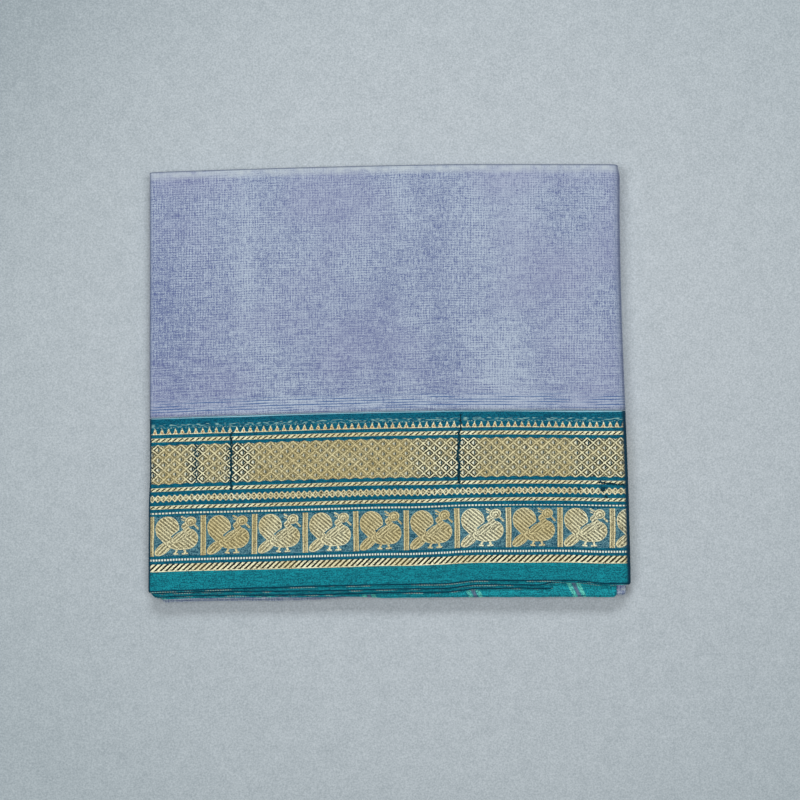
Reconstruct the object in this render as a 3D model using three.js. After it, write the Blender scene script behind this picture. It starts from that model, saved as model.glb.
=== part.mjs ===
// A folded saree, lying flat with its border towards -Y.
//
// The cloth is one woven length, 5.5 m long and 1.168 m wide, with a contrast border along each selvedge.
// It is folded in four across its width, selvedge to selvedge and then again, so that both selvedges lie
// along the lower edge and a soft fold along the upper one. That four-ply band is then folded in halves
// along its length, which stacks it in sixteen laps. The outermost lap runs over the front, round the right
// fold and back underneath, and on the left it turns in halfway down the stack.
//
// Frame: millimetres, +Z up, origin at the middle of the footprint, on the surface that the stack lies on.
// "v" is the distance up a lap from its lower selvedge, "inset" a distance in from the outermost lap's edge.
import * as THREE from "three";

// ---- Driving dimensions ----------------------------------------------------------------------------------
const CLOTH_WIDTH = 1168; // selvedge to selvedge
const LAP_HEIGHT = CLOTH_WIDTH / 4; // from the selvedge to the upper fold
const HALF_WIDTH = 168; // half of the stack's greatest width, at the middle of the outermost wall
const STACK = 18; // thickness of the sixteen laps
const LAP = 1.1; // one lap, four plies of thin silk cotton
const GAP = 0.3; // air between neighbouring solids
const JOIN = 120.5; // v of the line where the border is joined to the body
const SELVEDGE_Y = -139.57; // y of v = 0 where the lap isn't bent, which centres the footprint

// The left third of the stack is bent down a little, and the right edge leans in towards the top.
const BEND = { drop: 5.7, start: 60, power: 1.5 };
const RIGHT_TAPER = { size: 7.8, from: -20, length: 285, corner: 1.3 }; // corner is lost over the last 8 mm
const LEFT_STEP = { size: 0.8, from: 60, to: 80 }; // above the step the left fold sits further in
const LIFT = { height: 2.2, from: 36, to: 152, ease: 26, fade: 12, kept: 0.35 }; // the lower edge rises here

// The outermost lap's turns. reach is how far the turn takes to come down from the front, along X.
const RIGHT_TURN = { reach: 6.8, top: STACK - LAP / 2, bottom: LAP / 2, steps: 10 };
const LEFT_TURN = { reach: 3.6, top: STACK - LAP / 2, bottom: 9.6, steps: 8 };
const LEFT_TUCK = 4; // the stretch past the left turn, which runs in between the laps
const BACK_INSET = 7; // the back stretch ends this far in from the left

// Pressed-in creases of the front, where the border was folded before. Each is a soft trough.
const CREASES = [
  { x: -133.5, fromV: 66, toV: 116, depth: 0.35, width: 2.2 },
  { x: -113, fromV: 56, toV: 116, depth: 0.5, width: 2.4 },
  { x: 47, fromV: 16, toV: 119, depth: 0.5, width: 2.6 },
];
const PUCKER = { x: 149, v: 67, depth: 0.55, spreadX: 6, spreadV: 5 };
const BORDER_SWELL = 0.45; // the brocade makes the border's laps stand this much thicker
const ROLL = { height: 0.28, lengthX: 74, lengthV: 96 }; // the slow unevenness of a stack of cloth
const CALM_EDGE = 14; // the front's unevenness dies out over this distance from its edges

// ---- Helpers ---------------------------------------------------------------------------------------------
const clamp = (t) => Math.min(1, Math.max(0, t));
const lerp = THREE.MathUtils.lerp;
const smooth = (t) => clamp(t) * clamp(t) * (3 - 2 * clamp(t));
const bell = (d, width) => Math.exp(-((d / width) ** 2));
const steps = (from, to, count) =>
  Array.from({ length: count + 1 }, (_, i) => lerp(from, to, i / count));

// A closed wall between two grids of points, joined round their rims. Both grids run [row][column], and the
// outer one has its rows and columns turning counter-clockwise as seen from outside.
function wall(outer, inner) {
  const rows = outer.length;
  const columns = outer[0].length;
  const at = (side, i, j) => side * rows * columns + i * columns + j;
  const index = [];
  const quad = (a, b, c, d) => index.push(a, b, c, a, c, d);
  for (let i = 0; i < rows - 1; i++)
    for (let j = 0; j < columns - 1; j++) {
      quad(at(0, i, j), at(0, i, j + 1), at(0, i + 1, j + 1), at(0, i + 1, j));
      quad(at(1, i, j), at(1, i + 1, j), at(1, i + 1, j + 1), at(1, i, j + 1));
    }
  for (let j = 0; j < columns - 1; j++) {
    quad(at(1, 0, j), at(1, 0, j + 1), at(0, 0, j + 1), at(0, 0, j));
    quad(at(0, rows - 1, j), at(0, rows - 1, j + 1), at(1, rows - 1, j + 1), at(1, rows - 1, j));
  }
  for (let i = 0; i < rows - 1; i++) {
    quad(at(0, i, 0), at(0, i + 1, 0), at(1, i + 1, 0), at(1, i, 0));
    quad(at(1, i, columns - 1), at(1, i + 1, columns - 1), at(0, i + 1, columns - 1), at(0, i, columns - 1));
  }
  return geometryOf([...outer.flat(), ...inner.flat()], index);
}

// A closed solid through a stack of rings, lowest first, each turning counter-clockwise as seen from above.
function stacked(rings) {
  const around = rings[0].length;
  const points = rings.flat();
  const index = [];
  for (let k = 0; k < rings.length - 1; k++)
    for (let i = 0; i < around; i++) {
      const [a, b] = [k * around + i, k * around + ((i + 1) % around)];
      index.push(a, b, b + around, a, b + around, a + around);
    }
  for (const [ring, up] of [[0, false], [rings.length - 1, true]]) {
    const centre = rings[ring].reduce((sum, p) => sum.add(p), new THREE.Vector3()).divideScalar(around);
    points.push(centre);
    for (let i = 0; i < around; i++) {
      const [a, b] = [ring * around + i, ring * around + ((i + 1) % around)];
      index.push(points.length - 1, ...(up ? [a, b] : [b, a]));
    }
  }
  return geometryOf(points, index);
}

function geometryOf(points, index) {
  const geometry = new THREE.BufferGeometry().setFromPoints(points);
  geometry.setIndex(index);
  geometry.computeVertexNormals();
  return geometry;
}

// ---- The plan of a lap -----------------------------------------------------------------------------------
const leftEdge = (v) =>
  -HALF_WIDTH + LEFT_STEP.size * smooth((v - LEFT_STEP.from) / (LEFT_STEP.to - LEFT_STEP.from));
const rightEdge = (v) =>
  HALF_WIDTH -
  RIGHT_TAPER.size * smooth((v - RIGHT_TAPER.from) / RIGHT_TAPER.length) -
  RIGHT_TAPER.corner * smooth((v - LAP_HEIGHT + 8) / 8);
const bend = (x) => -BEND.drop * clamp((BEND.start - x) / (BEND.start + HALF_WIDTH)) ** BEND.power;
const liftLeft = (v) => lerp(1 - smooth(v / LIFT.fade), clamp(1 - v / JOIN), LIFT.kept);
const lift = (x, v) =>
  LIFT.height * smooth((x - LIFT.from) / LIFT.ease) * smooth((LIFT.to - x) / LIFT.ease) * liftLeft(v);
const planY = (x, v) => SELVEDGE_Y + v + bend(x) + lift(x, Math.max(0, v));

// How far the front stands above or below its level, at x and v.
function unevenness(x, v) {
  const calm = smooth((x - leftEdge(v)) / CALM_EDGE) * smooth((rightEdge(v) - x) / CALM_EDGE);
  const roll = ROLL.height * Math.sin(x / (ROLL.lengthX / 2)) * Math.cos(v / (ROLL.lengthV / 2));
  const swell = BORDER_SWELL * smooth(v / 12) * smooth((JOIN + 6 - v) / 14);
  const troughs = CREASES.map(
    (c) => c.depth * bell(x - c.x, c.width) * smooth((v - c.fromV) / 10) * smooth((c.toV - v) / 6),
  );
  const pucker = PUCKER.depth * bell(x - PUCKER.x, PUCKER.spreadX) * bell(v - PUCKER.v, PUCKER.spreadV);
  return calm * (roll + swell) - troughs.reduce((sum, d) => sum + d, 0) - pucker;
}

// ---- The outermost lap -----------------------------------------------------------------------------------
// Where the front's columns stand: evenly spaced, with three at each crease and at the pucker.
const FRONT_COLUMNS = 22;
const shareOf = (x) => (x + HALF_WIDTH) / (2 * HALF_WIDTH);
const frontShares = [
  ...steps(0, 1, FRONT_COLUMNS),
  ...CREASES.flatMap((c) => [c.x - c.width, c.x, c.x + c.width].map(shareOf)),
  shareOf(PUCKER.x),
]
  .sort((a, b) => a - b)
  .filter((share, i, all) => i === 0 || share - all[i - 1] > 0.004);

// The lap's mid-line at height v on it, as points with the direction that faces out: from the tuck on the
// left, up round the left turn, across the front, down round the right turn and back underneath.
function outerPath(v) {
  const [left, right] = [leftEdge(v), rightEdge(v)];
  const path = [];
  const turn = (t, centreX, from, to) => {
    const [middle, rise] = [(t.top + t.bottom) / 2, (t.top - t.bottom) / 2];
    for (const angle of steps(from, to, t.steps)) {
      const [c, s] = [Math.cos(angle), Math.sin(angle)];
      const out = new THREE.Vector2(c / t.reach, s / rise).normalize();
      path.push({ x: centreX + t.reach * c, z: middle + rise * s, out });
    }
  };
  path.push({ x: left + LEFT_TURN.reach + LEFT_TUCK, z: LEFT_TURN.bottom, out: new THREE.Vector2(0, -1) });
  turn(LEFT_TURN, left + LEFT_TURN.reach, -Math.PI / 2, (-3 * Math.PI) / 2);
  const [from, to] = [left + LEFT_TURN.reach, right - RIGHT_TURN.reach];
  for (const share of frontShares.slice(1, -1)) {
    const x = lerp(from, to, share);
    path.push({ x, z: RIGHT_TURN.top + unevenness(x, v), out: new THREE.Vector2(0, 1) });
  }
  turn(RIGHT_TURN, to, Math.PI / 2, -Math.PI / 2);
  for (const x of steps(to, left + BACK_INSET, 8).slice(1))
    path.push({ x, z: RIGHT_TURN.bottom, out: new THREE.Vector2(0, -1) });
  return path;
}

// One stretch of the outermost lap's wall, from v of the first row to v of the last. thin is how much of the
// wall is left at a row, so that the upper fold ends round.
function outerWall(rows) {
  const side = (sign) =>
    rows.map(({ v, thin = 1 }) =>
      outerPath(v).map(({ x, z, out }) => {
        const half = (sign * thin * LAP) / 2;
        return new THREE.Vector3(x + out.x * half, planY(x, v), z + out.y * half);
      }),
    );
  return wall(side(1), side(-1));
}

const borderRows = [...steps(0, 60, 4), 64, 67, 71, ...steps(80, JOIN - GAP / 2, 4)].map((v) => ({ v }));
const bodyRows = [
  ...[...steps(JOIN + GAP / 2, LAP_HEIGHT - 8, 7), LAP_HEIGHT - 4, LAP_HEIGHT - LAP / 2].map((v) => ({ v })),
  { v: LAP_HEIGHT, thin: 0.4 },
];

// ---- The laps that show below the front selvedge -----------------------------------------------------------
// A flat lap between heights low and high. Its outline is given as insets from the outermost lap's edges and
// by v of its lower and upper edges, which may change along x. Its rim is thinned, because each edge is a fold.
const RIM = 0.6;
function flatLap({ low, high, leftInset, rightInset, lowerV, upperV }) {
  const rowShares = [0, 0.004, 0.25, 0.5, 0.75, 0.996, 1];
  const columnShares = [0, 0.003, ...steps(0.04, 0.96, 14), 0.997, 1];
  const isRim = (share) => share === 0 || share === 1;
  const side = (sign) =>
    rowShares.map((row) =>
      columnShares.map((column) => {
        const middleV = lerp(0, LAP_HEIGHT, row);
        const x = lerp(leftEdge(middleV) + leftInset, rightEdge(middleV) - rightInset, column);
        const v = lerp(lowerV(x), upperV(x), row);
        const half = ((high - low) / 2) * (isRim(row) || isRim(column) ? 1 - RIM : 1);
        return new THREE.Vector3(x, planY(x, v), (low + high) / 2 + sign * half);
      }),
    );
  return wall(side(1), side(-1));
}

const level = (lapsDown) => STACK - lapsDown * (LAP + GAP);
const UNDER_LAP = {
  low: level(1) - LAP,
  high: level(1),
  leftInset: 2.4,
  rightInset: 9.9,
  lowerV: (x) => -1.6 - 1.8 * smooth((x + 150) / 120) + 2.4 * smooth((x - 104) / 12),
  upperV: () => LAP_HEIGHT - 0.6,
};
const TUCKED_END = {
  low: level(2) - LAP,
  high: level(2),
  leftInset: 1.5,
  rightInset: 54.8, // the cloth's plain end stops this short of the right fold
  lowerV: (x) => -4.4 - 1.6 * smooth((x + 150) / 120),
  upperV: () => LAP_HEIGHT - 1.4,
};
const PALLU_LAP = {
  low: level(3) - LAP,
  high: level(3),
  leftInset: 6.5,
  rightInset: 10.6,
  lowerV: (x) => -4.5 - 1.9 * smooth((x + 150) / 110) - 2.1 * smooth((x + 36) / 40) - lift(x, 0),
  upperV: () => LAP_HEIGHT - 3,
};
const BACK_FOLD = {
  low: LEFT_TURN.bottom + LAP / 2 + GAP,
  high: PALLU_LAP.low - GAP,
  leftInset: 9,
  rightInset: 3.6,
  lowerV: (x) => -7.5 - 1.3 * smooth((x + 140) / 60) + 1.1 * smooth((x + 53) / 50) - lift(x, 0),
  upperV: () => LAP_HEIGHT - 2.3,
};

// ---- The hidden laps, one solid, layered at its edges --------------------------------------------------------
const LEDGE = 1.3; // how deep the groove is between two laps
const CORNER = 3;
const INNER_LOW = LAP + GAP;
const TUCK_ROOM = { left: 9, right: 3.4, lower: 0.4, upper: 1, thick: LAP + GAP, ledge: 0 };
const INNER_THICK = (BACK_FOLD.low - GAP - INNER_LOW - TUCK_ROOM.thick) / 6;
const inner = (left, right, lower, upper) => {
  return { left, right, lower, upper, thick: INNER_THICK, ledge: LEDGE };
};
// One row for each lap, lowest first. The last is the room beside the outermost lap's tuck.
const INNER_LAPS = [
  inner(2.4, 5.2, 0.8, 0.6),
  inner(1.4, 4.0, -0.4, 1.4),
  inner(2.0, 3.2, 0.6, 0.2),
  inner(3.2, 3.6, 1.0, 0.8),
  inner(2.4, 3.0, -0.2, 1.6),
  inner(4.2, 3.8, 0.5, 0.9),
  TUCK_ROOM,
];
const SIDE_ROWS = [30, 62, 72, 84, 140, 200, 260]; // v of the outline's points along a side

// The outline of a lap at height z, drawn in by extra on every side, with its corners rounded.
function ring(lap, extra, z) {
  const corner = (turn) => steps(0, Math.PI / 2, 3).map((angle) => angle + (turn * Math.PI) / 2);
  const left = lap.left + extra + CORNER;
  const right = lap.right + extra + CORNER;
  const lower = lap.lower + extra + CORNER;
  const upper = LAP_HEIGHT - lap.upper - extra - CORNER;
  const outline = [
    ...steps(0.06, 0.94, 10).map((share) => ({ share, v: lower - CORNER })),
    ...corner(3).map((angle) => ({ share: 1, v: lower, angle })),
    ...SIDE_ROWS.map((v) => ({ share: 1, v, angle: 0 })),
    ...corner(0).map((angle) => ({ share: 1, v: upper, angle })),
    ...steps(0.94, 0.06, 10).map((share) => ({ share, v: upper + CORNER })),
    ...corner(1).map((angle) => ({ share: 0, v: upper, angle })),
    ...SIDE_ROWS.toReversed().map((v) => ({ share: 0, v, angle: Math.PI })),
    ...corner(2).map((angle) => ({ share: 0, v: lower, angle })),
  ];
  return outline.map(({ share, v, angle }) => {
    const x = lerp(leftEdge(v) + left, rightEdge(v) - right, share);
    const [dx, dv] = angle === undefined ? [0, 0] : [CORNER * Math.cos(angle), CORNER * Math.sin(angle)];
    return new THREE.Vector3(x + dx, planY(x + dx, v + dv), z);
  });
}

function innerLaps() {
  let z = INNER_LOW;
  const rings = INNER_LAPS.flatMap((lap) => {
    const at = (share, extra) => ring(lap, extra, z + share * lap.thick);
    const four = [at(0.02, lap.ledge), at(0.25, 0), at(0.75, 0), at(0.98, lap.ledge)];
    z += lap.thick;
    return four;
  });
  return stacked(rings);
}

// ---- The part ------------------------------------------------------------------------------------------------
const cloth = (color) => new THREE.MeshStandardMaterial({ color, roughness: 0.75, metalness: 0 });
const BODY = cloth(0x93a0ba);
const BORDER = cloth(0x9f9a72);
const SELVEDGE = cloth(0x17778a);
const PALLU = cloth(0x1a7c8c);

const saree = new THREE.Group();
saree.name = "folded_saree";
for (const [name, geometry, material] of [
  ["outer_body", outerWall(bodyRows), BODY],
  ["outer_border", outerWall(borderRows), BORDER],
  ["under_lap", flatLap(UNDER_LAP), SELVEDGE],
  ["tucked_end", flatLap(TUCKED_END), SELVEDGE],
  ["inner_laps", innerLaps(), BODY],
  ["pallu_lap", flatLap(PALLU_LAP), PALLU],
  ["back_fold", flatLap(BACK_FOLD), BODY],
]) {
  const mesh = new THREE.Mesh(geometry, material);
  mesh.name = name;
  saree.add(mesh);
}

export default saree;
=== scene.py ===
"""A folded saree, lying flat with its brocade border towards -Y.

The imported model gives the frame: metres, +Z up, origin under the middle of the stack. Each solid of the
model is replaced by cloth of the same form. The outermost lap is a wall carried round the stack: it tucks in
on the left, crosses the front, turns down over the right fold and comes back underneath. The laps beneath
it are thin slabs whose rims show the edges of their plies. The border's woven figures are drawn by the
cloth's materials, in millimetres along the cloth (u) and up from its lower selvedge (v).
"""

import math

import bpy
import numpy as np
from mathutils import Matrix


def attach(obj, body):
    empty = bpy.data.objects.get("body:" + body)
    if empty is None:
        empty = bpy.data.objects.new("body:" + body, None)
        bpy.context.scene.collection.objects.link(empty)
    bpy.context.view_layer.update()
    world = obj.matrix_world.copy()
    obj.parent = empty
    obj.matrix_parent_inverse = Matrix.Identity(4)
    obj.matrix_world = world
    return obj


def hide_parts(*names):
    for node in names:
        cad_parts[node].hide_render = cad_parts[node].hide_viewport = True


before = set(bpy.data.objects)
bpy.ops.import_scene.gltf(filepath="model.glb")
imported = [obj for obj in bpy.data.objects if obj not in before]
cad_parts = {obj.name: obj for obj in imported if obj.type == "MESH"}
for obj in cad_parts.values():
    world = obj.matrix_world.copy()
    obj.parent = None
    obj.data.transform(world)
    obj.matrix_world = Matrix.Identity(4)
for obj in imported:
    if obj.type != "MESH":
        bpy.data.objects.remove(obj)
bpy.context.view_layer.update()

MM = 0.001

# ---- The stack's sizes, in millimetres
LAP_HEIGHT = 292.0  # from the selvedge to the upper fold
HALF_WIDTH = 168.0  # half of the stack's greatest width, at the middle of the outermost wall
STACK = 18.0  # thickness of the sixteen laps
LAP = 1.1  # one lap, four plies
GAP = 0.3  # air between neighbouring laps
JOIN = 120.5  # v of the line where the border is joined to the body
SELVEDGE_Y = -139.57  # y of v = 0 where the lap isn't bent

BEND_DROP, BEND_START, BEND_POWER = 5.7, 60.0, 1.5
RIGHT_TAPER, TAPER_FROM, TAPER_LENGTH, RIGHT_CORNER = 7.8, -20.0, 285.0, 1.3
LEFT_STEP, LEFT_STEP_FROM, LEFT_STEP_TO = 0.8, 60.0, 80.0
LIFT_HEIGHT, LIFT_FROM, LIFT_TO, LIFT_EASE, LIFT_FADE, LIFT_KEPT = 2.2, 36.0, 152.0, 26.0, 12.0, 0.35

RIGHT_TURN = {"reach": 6.8, "top": STACK - LAP / 2, "bottom": LAP / 2}
LEFT_TURN = {"reach": 3.6, "top": STACK - LAP / 2, "bottom": 9.6}
LEFT_TUCK = 4.0
BACK_INSET = 7.0

# Creases of the front: where along the cloth, from and to which v, how deep and how wide.
CREASES = [(-133.5, 66, 116, 0.35, 2.2), (-113, 56, 116, 0.5, 2.4), (47, 16, 119, 0.5, 2.6)]
PUCKERS = [(149, 67, 0.55, 6, 5), (131, 66, 0.3, 3.5, 3)]  # u, v, depth, spread along u and v

# ---- Camera
VIEW_WIDTH = 0.5565  # metres across the view, in the plane of the front
CAMERA_HEIGHT = 1.30  # above the front
CAMERA_X, CAMERA_Y = 0.0069, -0.0117


def add_camera():
    """A long lens that looks straight down on the front."""
    camera = bpy.data.cameras.new("camera")
    camera.sensor_width = 36
    camera.lens = camera.sensor_width * CAMERA_HEIGHT / VIEW_WIDTH
    camera_object = bpy.data.objects.new("camera", camera)
    camera_object.location = (CAMERA_X, CAMERA_Y, STACK * MM + CAMERA_HEIGHT)
    bpy.context.collection.objects.link(camera_object)
    bpy.context.scene.camera = camera_object


# ---- The plan of a lap, worked out on whole arrays
def smooth(t):
    """0 below 0 and 1 above 1, with an S curve between."""
    t = np.clip(t, 0, 1)
    return t * t * (3 - 2 * t)


def bell(distance, width):
    """A Gaussian bell: 1 at distance 0, and 1/e at one width."""
    return np.exp(-((distance / width) ** 2))


def left_edge(v):
    """x of the left fold: straight, with one small step."""
    return -HALF_WIDTH + LEFT_STEP * smooth((v - LEFT_STEP_FROM) / (LEFT_STEP_TO - LEFT_STEP_FROM))


def right_edge(v):
    """x of the right fold, which leans in towards the top and is eased off at its upper corner."""
    taper = RIGHT_TAPER * smooth((v - TAPER_FROM) / TAPER_LENGTH)
    return HALF_WIDTH - taper - RIGHT_CORNER * smooth((v - LAP_HEIGHT + 8) / 8)


def lift(x, v):
    """How far the lower edge rises: most of it fades out over the selvedge, and the rest over the border."""
    rise = smooth((x - LIFT_FROM) / LIFT_EASE) * smooth((LIFT_TO - x) / LIFT_EASE)
    left = LIFT_KEPT * np.clip(1 - v / JOIN, 0, 1) + (1 - LIFT_KEPT) * (1 - smooth(v / LIFT_FADE))
    return LIFT_HEIGHT * rise * left


def plan_y(x, v):
    """y of the point v up the lap at x: bent down on the left and lifted over the border."""
    bend = np.clip((BEND_START - x) / (BEND_START + HALF_WIDTH), 0, 1) ** BEND_POWER
    return SELVEDGE_Y + v - BEND_DROP * bend + lift(x, v)


def ripple(u, v, wide, tall, seed, waves=7):
    """Slow unevenness between about -1 and 1: a sum of sine waves in seeded directions."""
    random = np.random.default_rng(seed)
    total = 0
    for _ in range(waves):
        a, b = random.uniform(-1, 1, 2)
        total = total + np.sin(2 * math.pi * (a * u / wide + b * v / tall) + random.uniform(0, 6.28))
    return total / math.sqrt(waves * 2)


def unevenness(x, v):
    """Height of the front over its level: slow rolls, the swell of the brocade, creases and puckers."""
    calm = smooth((x - left_edge(v)) / 14) * smooth((right_edge(v) - x) / 14)
    roll = 0.28 * np.sin(x / 37) * np.cos(v / 48) + 0.16 * ripple(x, v, 46, 90, 3)
    swell = 0.45 * smooth(v / 12) * smooth((JOIN + 6 - v) / 14)
    height = calm * (roll + swell)
    for at, start, end, depth, width in CREASES:
        wander = at + 0.8 * np.sin(v / 7.0 + at)
        height = height - depth * bell(x - wander, width) * smooth((v - start) / 10) * smooth((end - v) / 6)
    for at, middle, depth, spread_u, spread_v in PUCKERS:
        height = height - depth * bell(x - at, spread_u) * bell(v - middle, spread_v)
    return height


# ---- Meshes
def make_piece(name, points, faces, uv, materials, face_materials=None, values=None):
    """A smooth-shaded mesh from points in millimetres, with its "cloth" UV map in metres of cloth.

    uv has one pair for each point, and values are named numbers for each point."""
    mesh = bpy.data.meshes.new(name)
    mesh.from_pydata((points * MM).tolist(), [], faces)
    for material in materials:
        mesh.materials.append(material)
    if face_materials is not None:
        mesh.polygons.foreach_set("material_index", face_materials)
    layer = mesh.uv_layers.new(name="cloth")
    corner = np.empty(len(mesh.loops), dtype=np.int32)
    mesh.loops.foreach_get("vertex_index", corner)
    layer.data.foreach_set("uv", (uv[corner] * MM).ravel().astype(np.float32))
    for key, numbers in (values or {}).items():
        mesh.attributes.new(key, "FLOAT", "POINT").data.foreach_set("value", numbers.astype(np.float32))
    mesh.polygons.foreach_set("use_smooth", np.ones(len(mesh.polygons), dtype=bool))
    mesh.update()
    piece = bpy.data.objects.new(name, mesh)
    bpy.context.collection.objects.link(piece)
    return piece


def tube_faces(rows, columns):
    """Quads of a grid of rows by columns, whose last row joins on to the first."""
    i, j = np.meshgrid(np.arange(rows), np.arange(columns - 1), indexing="ij")
    i, j = i.ravel(), j.ravel()
    k = (i + 1) % rows
    return np.stack([i * columns + j, i * columns + j + 1, k * columns + j + 1, k * columns + j], axis=1)


# The rim of a lap, from its upper face to its lower one: how far each point stands out past the lap's edge,
# how deep below the upper face it lies, as a share of the lap's thickness, tone, edge and deep. tone says
# which cloth it is, 0 for the border's and 1 for the body's, edge is 1 on a cut edge, and deep, 1 in a seam,
# is how much painted shade darkens it.
SELVEDGE_RIM = [
    (-1.10, 0.00, 0, 0, 0.0), (-0.50, 0.00, 0, 0, 0.8), (0.08, 0.04, 0, 0, 1.0), (0.18, 0.13, 0, 0, 1.0),
    (0.12, 0.21, 0, 0, 1.0), (-0.45, 0.26, 0, 0, 1.0), (-0.55, 0.30, 0, 1, 0.9), (0.15, 0.33, 0, 1, 0.2),
    (0.75, 0.38, 0, 1, 0.0), (0.85, 0.45, 0, 1, 0.0), (0.76, 0.52, 0, 0.6, 0.2), (-0.20, 0.57, 0.2, 0, 0.8),
    (-0.50, 0.61, 0.7, 0, 0.9), (0.05, 0.66, 1, 0, 0.5), (0.38, 0.73, 1, 0, 0.1), (0.48, 0.82, 1, 0, 0.0),
    (0.36, 0.92, 1, 0, 0.1), (-0.10, 0.98, 1, 0, 0.4), (-0.80, 1.00, 1, 0, 0.0),
]  # fmt: skip


def fold_rim_row(t):
    """A fold's rim at share t of its half turn: out at half height, with painted shade that darkens to the
    seam below.
    """
    bulge = math.sin(math.pi * t)
    return 0.75 * bulge - 0.25, (1 - math.cos(math.pi * t)) / 2, 1, 0, 0.3 * bulge + 0.7 * t**6


FOLD_RIM = [fold_rim_row(t) for t in (0, 0.08, 0.18, 0.3, 0.42, 0.5, 0.58, 0.7, 0.82, 0.92, 1)]


def outer_path(v):
    """The outermost lap's mid-line at each v, tucked in on the left, over the front, and back underneath.

    Returns x, z, the outward direction's two parts, u along the cloth, which equals x on the front, and
    side, which is 0 on the flat and 1 where the wall stands upright. Both turns are half ellipses."""
    v = np.asarray(v, dtype=float)[:, None]
    left, right = left_edge(v), right_edge(v)
    one = np.ones_like(v)

    def turn(shape, centre, angles):
        middle, rise = (shape["top"] + shape["bottom"]) / 2, (shape["top"] - shape["bottom"]) / 2
        c, s = np.cos(angles)[None], np.sin(angles)[None]
        nx, nz = c / shape["reach"], s / rise
        length = np.hypot(nx, nz)
        return centre + shape["reach"] * c, one * (middle + rise * s), one * nx / length, one * nz / length

    tuck_x = left + LEFT_TURN["reach"] + LEFT_TUCK * np.linspace(1, 0, 4)[None, :-1]
    tuck = (tuck_x, 0 * tuck_x + LEFT_TURN["bottom"], 0 * tuck_x, 0 * tuck_x - 1)
    left_turn = turn(LEFT_TURN, left + LEFT_TURN["reach"], -np.linspace(90, 270, 25)[:-1] * math.pi / 180)
    front_from, front_to = left + LEFT_TURN["reach"], right - RIGHT_TURN["reach"]
    front_x = front_from + (front_to - front_from) * np.linspace(0, 1, 211)[None]
    front = (front_x, RIGHT_TURN["top"] + unevenness(front_x, v), 0 * front_x, 0 * front_x + 1)
    right_turn = turn(RIGHT_TURN, front_to, np.linspace(90, -90, 33)[1:-1] * math.pi / 180)
    back_x = front_to + (left + BACK_INSET - front_to) * np.linspace(0, 1, 41)[None]
    back = (back_x, 0 * back_x + RIGHT_TURN["bottom"], 0 * back_x, 0 * back_x - 1)

    x, z, nx, nz = (
        np.concatenate([stretch[k] for stretch in (tuck, left_turn, front, right_turn, back)], axis=1)
        for k in range(4)
    )
    steps = np.hypot(np.diff(x, axis=1), np.diff(z, axis=1))
    u = np.concatenate([np.zeros_like(v), np.cumsum(steps, axis=1)], axis=1)
    start = tuck_x.shape[1] + left_turn[0].shape[1]
    u = u - u[:, start : start + 1] + x[:, start : start + 1]
    side = np.clip(1 - nz, 0, 1) * smooth((z - 9) / 6)
    return x, z, nx, nz, u, side


def outermost_lap(name, section, inner_rows, materials, material_of_v):
    """The outermost lap's wall: a closed cross-section carried along outer_path.

    section lists (v, depth, tone, edge, deep) over the outside and round its rims. inner_rows closes it."""
    loop = np.array(section + inner_rows, dtype=float)
    v, depth, tone, edge, deep = loop.T
    x, z, nx, nz, u, side = outer_path(v)
    out = (LAP / 2 - depth)[:, None]
    # Cloth round a turn is never quite even; the flat underside and the hidden inside stay true.
    sway = 0.22 * ripple(u, v[:, None], 30, 60, 11) * side * (depth < 0.2)[:, None]
    px = x + nx * (out + sway)
    pz = np.clip(z + nz * (out + sway), 0, None)
    py = plan_y(px, v[:, None] + 0 * px)
    points = np.stack([px, py, pz], axis=2).reshape(-1, 3)
    rows, columns = px.shape
    faces = tube_faces(rows, columns)
    uv = np.stack([u, v[:, None] + 0 * u], axis=2).reshape(-1, 2)
    chosen = np.repeat([material_of_v(a) for a in (v + np.roll(v, -1)) / 2], columns - 1)
    caps = [list(range(0, rows * columns, columns)), list(range(columns - 1, rows * columns, columns))[::-1]]
    chosen = np.concatenate([chosen, [0, 0]]).astype(np.int32)
    values = {"side": side.ravel()}
    for key, column in (("tone", tone), ("edge", edge), ("deep", deep)):
        values[key] = np.repeat(column, columns)
    return make_piece(name, points, faces.tolist() + caps, uv, materials, chosen, values)


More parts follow.
